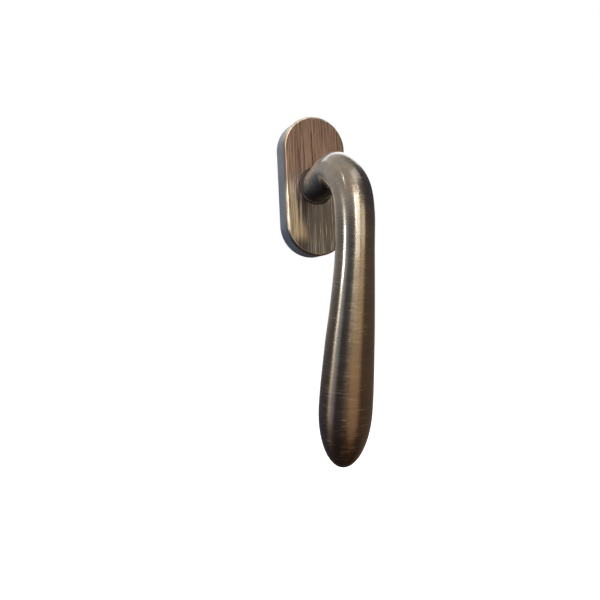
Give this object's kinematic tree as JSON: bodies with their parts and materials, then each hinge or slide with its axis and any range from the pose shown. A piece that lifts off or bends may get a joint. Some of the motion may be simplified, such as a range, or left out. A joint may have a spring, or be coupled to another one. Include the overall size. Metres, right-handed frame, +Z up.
{
  "type": "tilt-and-turn window handle",
  "caption": "Oval rose with a clip-on bronze cap over hidden screws, and a swan-neck lever with a tear-drop grip that turns a square spindle.",
  "frame": {"origin": "on the turning axis, on the plane where the rose meets the sash", "axes": "+Z up along the rose's long axis, +Y into the sash along the spindle, -Y towards the room, +X to the right as seen from the room"},
  "size_m": [0.0324, 0.0928, 0.172],
  "materials": {
    "bronze_lever": "antique bronze, brushed across the grip and clear lacquered",
    "bronze_cap": "antique bronze, brushed upright, polished bevel, clear lacquered",
    "grey_nylon": "moulded, fine satin",
    "dark_nylon": "moulded, satin",
    "white_nylon": "moulded, natural",
    "plated_steel": "bright zinc plated",
    "screw_steel": "yellow zinc plated",
    "hardened_steel": "ground and oiled",
    "spring_steel": "blued strip"
  },
  "bodies": {
    "rose": {"base_housing": "grey_nylon", "guide_bush": "dark_nylon", "boss_sleeve_top": "plated_steel", "boss_sleeve_bottom": "plated_steel", "back_plate": "plated_steel", "plate_rivets": "plated_steel", "leaf_spring_left": "spring_steel", "leaf_spring_right": "spring_steel", "wave_washer": "spring_steel", "thrust_washer": "white_nylon", "fixing_screws": "screw_steel"},
    "lever_arm": {"lever": "bronze_lever", "spindle": "plated_steel", "spindle_pin": "spring_steel", "drive_hub": "hardened_steel", "retaining_ring": "spring_steel"},
    "cap": {"rose_cover": "bronze_cap", "cover_frame": "white_nylon", "cover_clip_top": "spring_steel", "cover_clip_bottom": "spring_steel"}
  },
  "joints": [
    {"name": "lever_turn", "type": "hinge", "parent": "rose", "child": "lever_arm", "pos_m": [0, 0, 0], "axis": [0, 1, 0], "continuous": true, "deforming": ["leaf_spring_left", "leaf_spring_right"]},
    {"name": "cover_lift", "type": "slide", "parent": "rose", "child": "cap", "axis": [0, -1, 0], "range_m": [0, 0.005], "deforming": ["cover_clip_top", "cover_clip_bottom"]}
  ]
}
